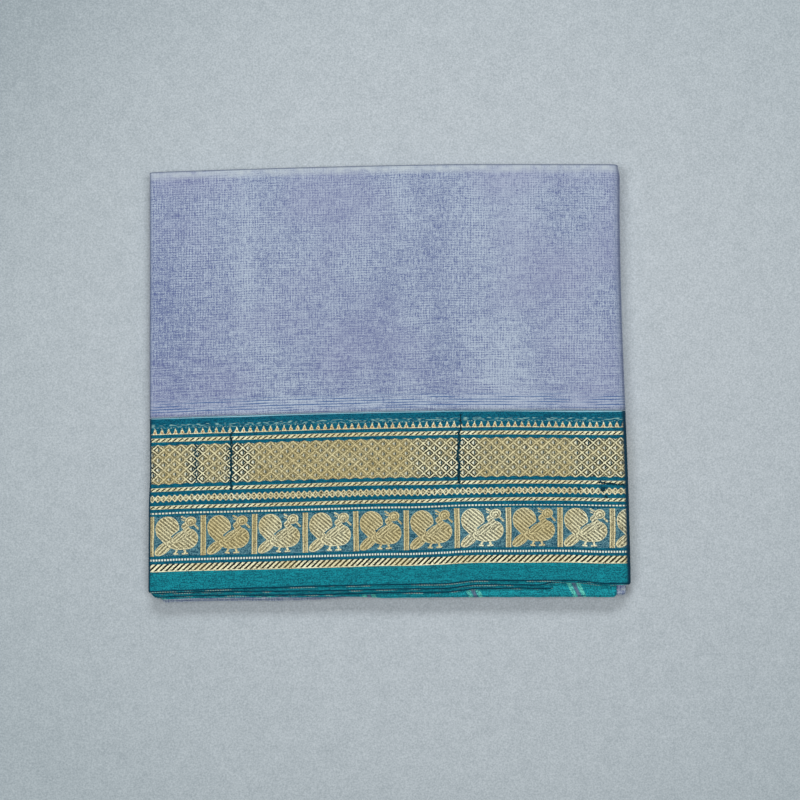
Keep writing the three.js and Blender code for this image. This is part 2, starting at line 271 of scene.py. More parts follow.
def outline(lap):
    """A lap's outline as seen from above, in (x, v), counter-clockwise from the lower left corner.

    Its sides follow the stack's edges, drawn in by the lap's insets, and its corners are rounded. Also
    returned are each point's inward direction and lower, which is 1 along the lower edge and 0 elsewhere."""
    left_round, right_round = lap.get("corners", (2.2, 2.2))
    along, up = np.linspace(0, 1, 150), np.linspace(0, 1, 120)
    top = LAP_HEIGHT - lap["upper"]

    def x_left(v):
        return left_edge(v) + lap["left"]

    def x_right(v):
        return right_edge(v) - lap["right"]

    def across(v, way):
        start, end = x_left(v) + left_round, x_right(v) - right_round
        return start + (end - start) * way

    low_x, high_x = across(0, along), across(LAP_HEIGHT, along[::-1])
    right_low, left_low = lap["lower"](x_right(0)), lap["lower"](x_left(0))
    right_v = right_low + right_round + (top - right_low - 2 * right_round) * up
    left_v = left_low + left_round + (top - left_low - 2 * left_round) * up[::-1]
    arc = np.linspace(0, math.pi / 2, 7)[1:-1]
    c, s = 1 - np.cos(arc), 1 - np.sin(arc)
    x = np.concatenate([
        low_x, x_right(0) - right_round * s, x_right(right_v), x_right(LAP_HEIGHT) - right_round * c,
        high_x, x_left(LAP_HEIGHT) + left_round * s, x_left(left_v), x_left(0) + left_round * c,
    ])  # fmt: skip
    v = np.concatenate([
        lap["lower"](low_x), right_low + right_round * c, right_v, top - right_round * s,
        top + 0 * high_x, top - left_round * c, left_v, left_low + left_round * s,
    ])  # fmt: skip
    ahead = np.stack([np.roll(x, -1) - np.roll(x, 1), np.roll(v, -1) - np.roll(v, 1)])
    ahead = ahead / np.hypot(*ahead)
    inward = np.stack([-ahead[1], ahead[0]])
    lower = np.clip(inward[1], 0, 1) * (v < LAP_HEIGHT / 2)
    return x, v, inward, lower


def lap_rings(lap, seed, plain=False):
    """One lap as rings of points (x, v, z), from its upper face round its rim to its under face.

    The lower edge has the selvedges' rim and the other three have the fold's, blended at the corners.
    Each ring also has its tone, its edge, and its deep, as in the rims' tables. A plain lap has only the
    body's cloth on it."""
    x, v, inward, lower = outline(lap)
    bottom, top = lap["low"], lap["high"]
    round_the_lap = np.arange(len(x)) * 1.9
    wander = ripple(round_the_lap, 0 * x, 60, 60, seed) * 0.25
    selvedge = np.array(SELVEDGE_RIM)
    share = np.linspace(0, 1, len(selvedge))
    fold_share = np.linspace(0, 1, len(FOLD_RIM))
    fold = np.stack([np.interp(share, fold_share, column) for column in zip(*FOLD_RIM)], axis=1)
    beside = np.ones_like(v) if plain else smooth((v - JOIN) / 2)
    rings = []
    for k in range(len(share)):
        reach, depth, tone, edge, deep = (
            selvedge[k, c] * lower + fold[k, c] * (1 - lower) * (beside if c == 2 else 1) for c in range(5)
        )
        if plain:
            tone, edge, deep = np.ones_like(v), 0 * v, deep * 0.4
        fine = 0.12 * ripple(round_the_lap, 0 * x, 9, 9, seed + 5 * (k // 6) + 1)
        out = reach + (wander + fine) * min(1.0, 4 * math.sin(math.pi * (k + 0.5) / len(share)))
        z = top - depth * (top - bottom)
        rings.append((x - inward[0] * out, v - inward[1] * out, z, tone, edge, deep))
    for share_in in (0.012, 0.08, 0.5):
        # The faces run in towards the middle of the lap, drawn together evenly.
        ring_x, ring_v = x * (1 - share_in), v + (LAP_HEIGHT / 2 - v) * share_in
        rings.insert(0, (ring_x, ring_v, top + 0 * x, beside, 0 * x, 0 * x))
        rings.append((ring_x, ring_v, bottom + 0 * x, np.ones_like(x), 0 * x, 0 * x))
    return rings


def ringed_piece(name, rings, material):
    """A closed piece through rings that run from its upper face down round its rim to its under face."""
    count = len(rings[0][0])
    x, v, z, tone, edge, deep = (np.concatenate([ring[k] for ring in rings]) for k in range(6))
    points = np.stack([x, plan_y(x, v), z], axis=1)
    i, j = np.meshgrid(np.arange(len(rings) - 1), np.arange(count), indexing="ij")
    i, j = i.ravel(), j.ravel()
    k = (j + 1) % count
    here, below = i * count, (i + 1) * count
    faces = np.stack([here + j, below + j, below + k, here + k], axis=1).tolist()
    last = (len(rings) - 1) * count
    faces += [list(range(count)), list(range(last, last + count))[::-1]]
    values = {"tone": tone, "edge": edge, "deep": deep}
    return make_piece(name, points, faces, np.stack([x, v], axis=1), [material], None, values)


# ---- Values that vary over the cloth
class Field:
    """A number that varies over the cloth: one output of a shader node, with arithmetic."""

    def __init__(self, tree, socket):
        self.tree, self.socket = tree, socket

    def __add__(self, other):
        return worked_out("ADD", self, other)

    def __sub__(self, other):
        return worked_out("SUBTRACT", self, other)

    def __rsub__(self, other):
        return worked_out("SUBTRACT", other, self)

    def __mul__(self, other):
        return worked_out("MULTIPLY", self, other)

    def __truediv__(self, other):
        return worked_out("DIVIDE", self, other)

    __radd__, __rmul__ = __add__, __mul__


def worked_out(operation, *terms, clamp=False):
    """One Math node over fields and plain numbers."""
    tree = next(term.tree for term in terms if isinstance(term, Field))
    node = tree.nodes.new("ShaderNodeMath")
    node.operation = operation
    node.use_clamp = clamp
    for socket, term in zip(node.inputs, terms):
        if isinstance(term, Field):
            tree.links.new(term.socket, socket)
        else:
            socket.default_value = term
    return Field(tree, node.outputs[0])


def low(*terms):
    """The lowest of the terms."""
    return terms[0] if len(terms) == 1 else worked_out("MINIMUM", terms[0], low(*terms[1:]))


def high(*terms):
    """The highest of the terms."""
    return terms[0] if len(terms) == 1 else worked_out("MAXIMUM", terms[0], high(*terms[1:]))


def size(a):
    """The term without its sign."""
    return worked_out("ABSOLUTE", a)


def root(a):
    """The square root."""
    return worked_out("SQRT", a)


def held(a):
    """The term held between 0 and 1."""
    return worked_out("ADD", a, 0.0, clamp=True)


def repeat(a, pitch):
    """How far the term is into its repeat."""
    return worked_out("FLOORED_MODULO", a, pitch)


def noise(x, y, seed, detail=0.0):
    """Soft noise between about 0.2 and 0.8, over x and y in units of its own grain."""
    tree = x.tree
    place = tree.nodes.new("ShaderNodeCombineXYZ")
    tree.links.new(x.socket, place.inputs[0])
    tree.links.new(y.socket, place.inputs[1])
    place.inputs[2].default_value = 7.3 * seed
    node = tree.nodes.new("ShaderNodeTexNoise")
    node.inputs["Scale"].default_value = 1
    node.inputs["Detail"].default_value = detail
    tree.links.new(place.outputs[0], node.inputs["Vector"])
    return Field(tree, node.outputs["Fac"])


def varied(x, y, seed, detail=0.0):
    """The same noise about 0, from about -0.3 to 0.3."""
    return noise(x, y, seed, detail) - 0.5


def colour(red, green, blue):
    """A shader colour from red, green and blue as they are seen on a screen, 0 to 255."""
    linear = [
        c / 12.92 if c <= 0.04045 else ((c + 0.055) / 1.055) ** 2.4
        for c in (red / 255, green / 255, blue / 255)
    ]
    return (*linear, 1.0)


def mixed(amount, first, second):
    """A colour from first, at amount 0, to second, at amount 1. Each is a colour or a node's output."""
    tree = amount.tree
    node = tree.nodes.new("ShaderNodeMix")
    node.data_type = "RGBA"
    tree.links.new(amount.socket, node.inputs["Factor"])
    for name, value in (("A", first), ("B", second)):
        socket = next(s for s in node.inputs if s.name == name and s.type == "RGBA")
        if isinstance(value, tuple):
            socket.default_value = value
        else:
            tree.links.new(value, socket)
    return next(s for s in node.outputs if s.type == "RGBA")


def new_cloth(name):
    """A material with its tree, the cloth's u and v in millimetres, and its shader."""
    material = bpy.data.materials.new(name)
    material.use_nodes = True
    tree = material.node_tree
    shader = tree.nodes["Principled BSDF"]
    place = tree.nodes.new("ShaderNodeUVMap")
    place.uv_map = "cloth"
    parts = tree.nodes.new("ShaderNodeSeparateXYZ")
    tree.links.new(place.outputs[0], parts.inputs[0])
    u = Field(tree, parts.outputs[0]) * 1000.0
    v = Field(tree, parts.outputs[1]) * 1000.0
    return material, tree, u, v, shader


def value_of(tree, key):
    """The piece's own number of that name."""
    node = tree.nodes.new("ShaderNodeAttribute")
    node.attribute_name = key
    return Field(tree, node.outputs["Fac"])


def finished(tree, shader, base, height, depth_mm, roughness, specular=0.08):
    """Gives the shader its colour, its relief of depth_mm for a height of 1, and its gloss."""
    tree.links.new(base, shader.inputs["Base Color"])
    bump = tree.nodes.new("ShaderNodeBump")
    bump.inputs["Distance"].default_value = depth_mm * MM
    bump.inputs["Strength"].default_value = 1
    tree.links.new(height.socket, bump.inputs["Height"])
    tree.links.new(bump.outputs[0], shader.inputs["Normal"])
    shader.inputs["Roughness"].default_value = roughness
    shader.inputs["Specular IOR Level"].default_value = specular


# ---- Woven figures, in millimetres, with y downwards from the join
EDGE_SOFTNESS = 0.18
WOVEN_UNIT = 3.93  # the ropes' pitch, and half of the lattice's
BAND_EDGE_BIRDS, BAND_EDGE_SELVEDGE = 65.6, 108.9  # y where the bird band and the plain selvedge begin

# The rows' top and bottom y, from the body down to the selvedge.
JOIN_LINE = (-1.3, 0.7)
LONG_FLECKS, SHORT_FLECKS = (4.6, 6.4), (6.7, 7.5)
TEMPLE_ROW, TEMPLE_PITCH = (7.6, 11.7), 4.73
THIN_ROPES = [(14.2, 16.8), (48.7, 51.2), (61.4, 63.8)]
LATTICE_TOP, LATTICE_MIDDLE, LATTICE_HALF = 18.9, 32.6, 13.9
LATTICE_WIDE, LATTICE_TALL = 7.86, 6.9
ZIGZAG_ROW = (53.6, 59.0)
THICK_ROPE = (102.0, 107.4)
# Each dotted line's middle y, pitch, and its dashes' length and height.
UPPER_DOTS = (66.8, 2.37, 1.6, 1.2)
LOWER_DOTS = (99.2, WOVEN_UNIT / 2, 1.25, 1.4)


def inside(edge):
    """1 where the signed distance to a figure's edge is negative, 0 outside, and soft between."""
    return worked_out("MULTIPLY_ADD", edge, -1.0 / EDGE_SOFTNESS, 0.5, clamp=True)


def between(y, top, bottom):
    """1 in the band from top to bottom."""
    return inside(size(y - (top + bottom) / 2) - (bottom - top) / 2)


def spot(x, y, cx, cy, radius):
    """Signed distance to a circle."""
    dx, dy = x - cx, y - cy
    return root(dx * dx + dy * dy) - radius


def oval(x, y, cx, cy, long, short, turn):
    """About the signed distance to an ellipse whose long axis is turned clockwise by turn degrees."""
    c, s = math.cos(math.radians(turn)), math.sin(math.radians(turn))
    dx, dy = x - cx, y - cy
    a = dx * (c / long) + dy * (s / long)
    b = dy * (c / short) - dx * (s / short)
    return (root(a * a + b * b) - 1.0) * min(long, short)


def stroke(x, y, x0, y0, x1, y1, half):
    """Signed distance to a straight stroke with round ends."""
    run, drop = x1 - x0, y1 - y0
    dx, dy = x - x0, y - y0
    far = run * run + drop * drop
    t = held(dx * (run / far) + dy * (drop / far))
    a, b = dx - t * run, dy - t * drop
    return root(a * a + b * b) - half


def hatch(x, y, turn, pitch, share):
    """Lines turned clockwise by turn degrees. Each takes up that share of the pitch."""
    c, s = math.cos(math.radians(turn)), math.sin(math.radians(turn))
    across = repeat(y * c - x * s, pitch) - pitch / 2
    return inside(size(across) - share * pitch / 2)


DARK_LINE = 0.3  # width of the dark line round each part of a figure


def laid(under, edge, lines, rim):
    """A figure over what lies under it: a dark line round it, a bright rim, and lines inside the rim."""
    cover, bright = under
    body = inside(edge)
    clear = inside(edge - DARK_LINE)
    return (
        high(cover, body),
        bright * (1.0 - clear) + body * high(1.0 - inside(edge + rim), lines),
    )


FIRST_BAR, BIRD_PITCH = -165.8, 35.84  # x of the first upright bar, and the step to the next
BIRD_TOP, BIRD_HEIGHT = 69.05, 27.3
# How far apart each bird's threads lie and how much they shine, painted as highlights and shade on the gold,
# from the left.
BIRD_OPENNESS_AND_SHINE = (0.45, 0.05, 0.5, 0.6, 0.1, 0.05, 1.1, 0.15, 0.7, 1.1)
LINE_SHARE = 0.42  # how much of a hatch's pitch its bright lines take up


def bird(x, y):
    """One bird between two bars: x is 0 on the first bar's middle, and y is 0 at the band's top."""
    cut = (x - 13.1) * 0.59 + (y - 14.2) * 0.81
    tail = low(high(spot(x, y, 11.0, 8.3, 8.2), cut), stroke(x, y, 6.6, 11.4, 12.2, 17.2, 3.2))
    fan = oval(x, y, 8.5, 22.2, 7.0, 3.5, -36)
    breast = low(oval(x, y, 25.0, 16.0, 7.4, 7.0, -40), oval(x, y, 18.3, 19.6, 7.6, 3.8, 8))
    wing = oval(x, y, 19.2, 14.6, 6.1, 2.9, -33)
    neck = low(stroke(x, y, 22.7, 7.3, 26.0, 11.0, 2.0), stroke(x, y, 22.7, 7.3, 25.6, 4.6, 1.9))
    head = oval(x, y, 27.0, 4.0, 4.0, 3.3, -14)
    beak = stroke(x, y, 29.6, 6.2, 32.2, 9.0, 0.65)
    crest = low(stroke(x, y, 24.4, 2.6, 21.0, 0.7, 0.65), stroke(x, y, 23.2, 3.6, 20.9, 2.7, 0.35))
    legs = low(
        stroke(x, y, 18.3, 22.4, 16.9, 25.2, 0.7),
        stroke(x, y, 15.6, 26.0, 18.2, 26.3, 0.55),
        stroke(x, y, 22.5, 22.4, 23.4, 25.0, 0.75),
        stroke(x, y, 21.6, 26.2, 24.9, 26.0, 0.55),
    )
    nothing = (x * 0.0, x * 0.0)
    figure = laid(nothing, legs, inside(legs), 0.9)
    figure = laid(figure, fan, hatch(x, y, -44, 2.1, LINE_SHARE), 0.5)
    figure = laid(figure, tail, hatch(x, y, 41, 2.15, LINE_SHARE), 0.55)
    figure = laid(figure, breast, hatch(x, size(y - 14.8), 38, 2.2, LINE_SHARE), 0.55)
    figure = laid(figure, wing, hatch(x, y, -40, 1.95, LINE_SHARE), 0.45)
    figure = laid(figure, low(neck, crest, beak), hatch(x, y, -38, 1.95, LINE_SHARE), 0.45)
    cover, bright = laid(figure, head, 1.0 - inside(size(spot(x, y, 27.0, 4.2, 2.6)) - 0.4), 0.5)
    iris = inside(size(spot(x, y, 27.2, 4.8, 1.15)) - 0.4)
    return cover, bright * (1.0 - iris)


def bars(x, y):
    """The upright bars between the birds: two bright lines with a dim one between, all finely ribbed."""
    across = size(x)
    pair = low(size(across - 1.35) - 0.42, across - 0.1)
    return inside(across - 1.95), inside(pair) * (0.62 + 0.35 * hatch(x, y, 0, 1.05, 0.55)) + 0.28


def rope(x, y, top, bottom, slant, share):
    """A line of slanting strokes: each leans to the right by slant for each millimetre up."""
    across = repeat(x + (y - (top + bottom) / 2) * slant, WOVEN_UNIT) - WOVEN_UNIT / 2
    return inside((size(across) - share * WOVEN_UNIT / 2) * 0.65)


def dots(x, y, middle, pitch, long, tall):
    """A line of short dashes."""
    across = repeat(x, pitch) - pitch / 2
    return inside(high(size(across) - long / 2, size(y - middle) - tall / 2))


def temples(x, y, top, bottom, pitch):
    """A row of small triangles in four steps each, on a thin line, and their browner cores."""
    rise = (bottom - top) / 4
    step = worked_out("FLOOR", (y - top) / rise) + 1.0
    across = size(repeat(x, pitch) - pitch / 2) + varied(x / 0.8, y / 0.8, 34) * 0.9
    triangle = inside(across - step * (pitch * 0.082)) * between(y, top, bottom)
    core = inside(across - step * (pitch * 0.036)) * between(y, top + rise * 1.8, bottom - 0.7)
    return high(triangle, between(y, bottom - 0.5, bottom)), core


def zigzag(x, y, top, bottom, pitch):
    """Two zigzag strands that cross and enclose a chain of small diamonds: the brightness, and the cover.

    Each diamond has a dark dot in its upper half and another in its lower one."""
    middle, reach = (top + bottom) / 2, (bottom - top) / 2 - 0.3
    wave = size(repeat(x, pitch) / pitch - 0.5) * (4 * reach) - reach
    wave = wave + varied(x / 2.5, y / 2.5, 28) * 1.2
    strands = low(size(y - middle - wave) - 0.1, size(y - middle + wave)) * 0.62
    from_middle = size(y - middle)
    blunt = from_middle - reach - 0.15
    dotted = inside(size(from_middle - reach * 0.42) - 0.5 + (reach - size(wave)) * 0.6)
    chain = inside(high(low((from_middle - size(wave)) * 0.62, strands - 0.5, from_middle - 1.5), blunt))
    return high(inside(high(strands - 0.28, blunt)), chain * 0.42 * (1.0 - dotted)), chain


def lattice(x, y, top, opened_and_shiny):
    """Diamonds between crossing lines. Each holds a smaller diamond, pale on its left side, and a dark eye.

    Returns the threads' brightness, the eyes, the pale spots beside them, and how far x is from a diamond's
    middle. m is 0 at the diamonds' middles and 1 on the crossing lines, level along each diamond's sides.
    opened is 0 where the threads lie so close that only the eyes show, and 1 where the lines stand apart and
    catch the light, as painted shine."""
    a = repeat(x, LATTICE_WIDE) - LATTICE_WIDE / 2
    b = repeat(y - top, LATTICE_TALL) - LATTICE_TALL / 2
    m = 1.0 - size(size(a) * (2 / LATTICE_WIDE) + size(b) * (2 / LATTICE_TALL) - 1.0)
    scale = LATTICE_WIDE / 4
    across = repeat(x + LATTICE_WIDE / 4, LATTICE_WIDE / 2) - LATTICE_WIDE / 4
    right = held(across * 1.6 + 0.5)
    line = inside((0.84 - m) * scale)
    small = inside((m - 0.48) * scale)
    apart = high(line, small * (0.88 - right * 0.4))
    close = 0.47 + line * 0.30 - (1.0 - line) * (1.0 - small) * 0.18
    wear_and_shine = varied(x / 1.2, y / 1.2, 27) * 1.6
    eye = inside((m - 0.34) * scale + size(across - 0.6) * 0.5 - 0.25 + wear_and_shine * 0.4) * held(across * 3.0 + 0.2)
    pale = inside((m - 0.27) * scale + size(across + 0.6) * 0.6 - 0.2 + wear_and_shine) * held(0.3 - across * 2.5)
    return close + (apart - close) * opened_and_shiny, eye, pale, size(a)


# ---- Cloths
# Painted shade where the outermost lap's wall turns down and stands upright.
NAVY_TURN_SHADE = colour(40, 60, 112)
TEAL_TURN_SHADE = colour(16, 62, 84)
# Gold: a painted highlight for threads that shine, the pale and middle gold of close threads, and painted
# shade between threads that lie apart.
GOLD_HIGHLIGHT = colour(255, 252, 212)
GOLD_PALE = colour(222, 208, 156)
GOLD_MIDDLE = colour(96, 86, 52)
GOLD_GAP_SHADE = colour(12, 24, 26)
CREAM = colour(222, 226, 204)
TEAL_LOW = colour(14, 86, 102)
TEAL_HIGH = colour(26, 150, 164)
# Painted shade for the seams between the plies.
SEAM_SHADE_COLOUR = colour(6, 44, 66)
BAND_LOW = colour(0, 62, 88)
BAND_HIGH = colour(16, 112, 134)
PLY_LOW = colour(90, 104, 150)
PLY_HIGH = colour(184, 198, 208)
FLOOR_PALE = colour(206, 214, 220)
FLOOR_DARK = colour(164, 174, 180)
# The floor further out, darkened as painted shade.
FLOOR_FAR_PALE = colour(188, 199, 204)
FLOOR_FAR_DARK = colour(150, 162, 168)


def lavender_yarn(u, v):
    """The body's tone, a slow drift of its colour, and its relief: slubbed level yarns, finer upright ones,
    grain, the weave's grid, and cloudy patches."""
    long_yarn = varied(u / 14, v / 0.42, 1)
    short_yarn = varied(u / 2.2, v / 0.42, 2)
    upright = varied(u / 0.45, v / 6, 3)
    speck = varied(u / 0.48, v / 0.46, 4, 1)
    cloud = varied(u / 24, v / 80, 5, 2)
    patch = varied(u / 10, v / 13, 9, 1)
    drift = varied(u / 60, v / 50, 6, 1)
    # The level yarns stand out more towards the border.
    lined = held((200.0 - v) / 70.0) * 0.6 + 0.6
    # The weave's own grid, which comes and goes.
    swayed_u, swayed_v = u + patch * 1.5, v + drift * 4.0
    grid = size(repeat(swayed_u, 1.9) - 0.95) * 0.8 + size(repeat(swayed_v, 1.7) - 0.85) - 0.8
    tone = long_yarn * lined + short_yarn * 0.8 + upright * 1.1 + speck * 2.9 + cloud * 0.6 + patch * 0.15
    tone = tone + grid * held(cloud * 2.0 + 0.5) * 0.75
    return tone, drift, long_yarn + short_yarn + upright * 0.7 + speck * 1.5


# Upright bands of the body that catch the light: u, half width and how much.
PALER_BANDS = [(-104, 15, 0.12), (-58, 9, 0.05), (8, 9, 0.05), (84, 32, 0.22), (140, 26, 0.06)]
THREAD_PITCH = 1.85  # of the dark level threads just above the join


def lavender_ply(u, v):
    """The body's cloth as it shows in the laps beneath."""
    tone, _, _ = lavender_yarn(u, v)
    return mixed(held(tone + 0.5), PLY_LOW, PLY_HIGH)


def body_cloth():
    """Plain lavender-grey silk cotton, paler towards the upper fold, with a painted highlight and a painted
    shade line along that fold, and painted shade where it turns down at the sides.
    """
    material, tree, u, v, shader = new_cloth("lavender_cloth")
    tone, drift, relief = lavender_yarn(u, v)
    tone = tone - 0.01 - held((-100.0 - u) / 40.0) * 0.1 + held((v - 200.0) / 60.0) * 0.05
    for at, width, amount in PALER_BANDS:
        tone = tone + held(1.0 - size(u - at + drift * 16.0) / width) * amount
    near_join = held(1.2 - size(v - JOIN - 7.0) / 6.0)
    threads = inside(size(repeat(v + drift * 1.5, THREAD_PITCH) - THREAD_PITCH / 2) - 0.3)
    threads = threads * held(noise(u / 20, v / 2, 7) * 3.4 - 1.1)
    tone = tone + near_join * 0.3
    base = mixed(held(tone + 0.5), colour(88, 102, 150), colour(184, 198, 214))
    base = mixed(held(drift + 0.06), base, colour(140, 140, 178))
    base = mixed(held(near_join * threads * 1.5), base, colour(66, 100, 152))
    base = mixed(inside(v - JOIN - 0.7) * 0.6, base, colour(184, 212, 228))
    # Painted highlight: the last millimetres before the upper fold catch the light, and end in a painted
    # shade line.
    wear_and_shine = held((v - (LAP_HEIGHT - 7)) / 4) * held(noise(u / 5, v / 3, 8) * 1.2 + 0.1)
    base = mixed(wear_and_shine * 0.85, base, colour(192, 203, 210))
    base = mixed(held((v - (LAP_HEIGHT - 1.1)) * 1.6) * 0.8, base, colour(84, 96, 120))
    # Round the side turns: a painted highlight, then painted shade where the wall stands upright.
    side = value_of(tree, "side")
    base = mixed(held(side * 5.0) * 0.2, base, colour(166, 182, 212))
    base = mixed(held(side * 2.6 - 0.75), base, NAVY_TURN_SHADE)
    finished(tree, shader, base, relief, 0.10, 0.8, specular=0.25)
    shader.inputs["Sheen Weight"].default_value = 0.05
    return material


def teal_yarn(u, v):
    """Fine level yarns for the border's ground, between about -0.3 and 0.3."""
    return varied(u / 6, v / 0.48, 11) * 0.9 + varied(u / 0.6, v / 0.46, 12) * 1.8


def seam_shaded(tree, base, share=1.0):
    """The colour, with painted shade in the seams between the plies."""
    return mixed(held(value_of(tree, "deep") * share), base, SEAM_SHADE_COLOUR)


def teal_ground(yarn):
    """The plain teal of the selvedges."""
    return mixed(held(yarn * 1.5 + 0.5), TEAL_LOW, TEAL_HIGH)


# Where the creases hold the brocade open and tilt it into the light, painted as shine on the gold: u, half
# width and how far.
OPENED_AND_SHINY = [
    (-125, 34, 0.3), (-135, 7, 0.9), (-106, 10, 1.1), (38, 20, 0.8),
    (52, 9, 1.1), (90, 40, 0.3), (146, 18, 0.8),
]  # fmt: skip
# Cracks along the creases: u, top and bottom y, half width, and how far they wander.
CRACKS = [
    (-135, 20, 44, 0.5, 2.4), (-110.5, 11, 52, 0.85, 2.6), (49.0, 3, 14, 0.7, 1.5), (47.8, 13, 51, 0.95, 2.6),
]  # fmt: skip
FRAYED_SPOTS = [(131.3, 55.2, 1.0), (148.2, 55.0, 1.9), (150.5, 60.4, 1.2)]  # u, y and radius
PULLED_THREAD = (146.0, 49.8, 163.0, 51.8, 0.7)  # u and y of both ends, and half width


def creased(u, y):
    """How far the creases hold the brocade open and tilt it into the light, painted as shine on the gold, and
    how near it is to a crack along one of them.
    """
    opened_and_shiny = held(1.5 - (u + HALF_WIDTH) / 9.0) * 0.7
    for at, width, amount in OPENED_AND_SHINY:
        opened_and_shiny = high(opened_and_shiny, held(1.5 - size(u - at) / width) * amount)
    opened_and_shiny = held(opened_and_shiny + varied(u / 9, y / 8, 24) * 1.5 * (opened_and_shiny + 0.12))
    cracked = None
    for at, top, bottom, half, wander in CRACKS:
        sway = at + varied(y / 3.2, u * 0.0, at * 0.01) * wander
        crack = high(size(u - sway) - half, size(y - (top + bottom) / 2) - (bottom - top) / 2)
        cracked = crack if cracked is None else low(cracked, crack)
    for at, down, radius in FRAYED_SPOTS:
        cracked = low(cracked, spot(u, y, at, down, radius))
    ragged = varied(u / 0.9, y / 0.9, 25) * 1.6
    return opened_and_shiny, low(cracked, stroke(u, y, *PULLED_THREAD)) + ragged


BROCADE_RELIEF = 0.22  # millimetres


def brocaded(tree, u, v, ground, cover, bright, contrast, shader, white, tan=None):
    """Gold thread over a ground: cover is where gold lies, bright its raised threads, and contrast how
    open and how shiny the threads lie, from close together and matte at 0 to apart and shining at 1, with
    painted highlights on the threads and painted shade between them. white is where the thread shines white,
    and tan where it is browner."""
    glint = varied(u / 0.62, v / 0.6, 21)
    strand = varied(u / 0.5, v / 4, 22)
    wear_and_shine = varied(u / 17, v / 14, 23, 1)
    thread = held(bright * 1.02 + (glint * 4.2 + strand * 0.6) * (bright * 0.67 + 0.06) - 0.02)
    close = mixed(thread, GOLD_MIDDLE, GOLD_PALE)
    apart = mixed(thread, GOLD_GAP_SHADE, GOLD_HIGHLIGHT)
    gold = mixed(held(contrast + wear_and_shine * 0.8), close, apart)
    if tan is not None:
        gold = mixed(tan, gold, colour(176, 124, 78))
    gold = mixed(white, gold, colour(236, 244, 232))
    base = mixed(cover, ground, gold)
    # Painted shade where the wall turns down and stands upright.
    side = value_of(tree, "side")
    base = mixed(held(side * 5.0 - 0.6), base, TEAL_TURN_SHADE)
    relief = cover * 0.4 + bright * 0.5 + glint * 0.8 + strand * 0.3
    finished(tree, shader, base, relief, BROCADE_RELIEF, 0.75)


def border_coordinates(u, v):
    """x and y of the woven figures, y downwards from the join. Both waver as woven rows do.

    Towards the selvedge the rows run up a little on the right and at the far left."""
    y = JOIN - v + varied(u / 34, v / 90, 31) * 0.9
    risen = held((u - 12.0) / 34.0) * 1.1 + held((-110.0 - u) / 40.0) * 0.6
    y = y + risen * held((y - 50.0) / 18.0)
    x = u + 0.3 + varied(u / 60, v / 22, 32) * 1.6
    return x, y


def upper_border():
    """The dark band, the temple row, and the lattice and zigzag between rope lines."""
    material, tree, u, v, shader = new_cloth("brocade_lattice")
    x, y = border_coordinates(u, v)
    opened_and_shiny, cracked = creased(u, y)
    yarn = teal_yarn(u, v)
    ground = mixed(held(yarn * 1.3 + 0.5), BAND_LOW, BAND_HIGH)
    flecks = held(noise(x / 3.2, y / 0.7, 33) * 9.0 - 4.9) * between(y, *LONG_FLECKS)
    flecks = high(flecks, held(noise(x / 1.2, y / 0.7, 37) * 9.0 - 4.7) * between(y, *SHORT_FLECKS))
    ground = mixed(flecks * 0.75, ground, colour(150, 192, 184))
    ground = mixed(between(y, *JOIN_LINE) * 0.95, ground, colour(156, 206, 224))
    row, cores = temples(x, y, *TEMPLE_ROW, TEMPLE_PITCH)
    rope_cover, rope_bright = None, None
    for top, bottom in THIN_ROPES:
        band = between(y, top, bottom)
        strokes = rope(x, y, top, bottom, 1.35, 0.6)
        strokes = high(strokes, (1.0 - between(y, top + 0.3, bottom - 0.3)) * 0.7) * band
        rope_cover = band if rope_cover is None else high(rope_cover, band)
        rope_bright = strokes if rope_bright is None else high(rope_bright, strokes)
    chain, chain_band = zigzag(x, y, *ZIGZAG_ROW, 2 * WOVEN_UNIT)
    net, eyes, pale, from_middle = lattice(x, y, LATTICE_TOP, opened_and_shiny)
    net_band = inside(size(y - LATTICE_MIDDLE) - LATTICE_HALF + from_middle * 0.22)
    net, eyes = net * net_band, eyes * net_band
    crack = high(inside(cracked), inside(cracked - 1.3 + net * 2.4) * net_band)
    cover = high(row, rope_cover, chain_band, net_band) * (1.0 - eyes * (0.8 + 0.2 * opened_and_shiny))
    bright = high(row * 0.95, rope_bright, chain, net)
    # How open and shiny the gold lies: painted highlights on its threads and painted shade between them, more
    # at the creases.
    contrast = (0.1 + opened_and_shiny * 0.8) * net_band + (1.0 - net_band) * (0.45 + opened_and_shiny * 0.5)
    cover = cover * (1.0 - crack)
    ground = mixed(eyes * 0.8, ground, colour(8, 52, 66))
    # In a crack the ground shows where the gold has opened, darkened by painted shade in the crease.
    shaded_crack_ground = mixed(held(noise(u / 1.1, v / 1.1, 26) * 3.0 - 1.0), colour(4, 18, 26), colour(14, 62, 74))
    ground = mixed(crack * 0.9, ground, shaded_crack_ground)
    tan = cores * (1.0 - crack)
    white = pale * net_band * (1.0 - crack) * (0.5 + 0.3 * opened_and_shiny)
    brocaded(tree, u, v, ground, cover, bright, contrast, shader, white, tan)
    return material


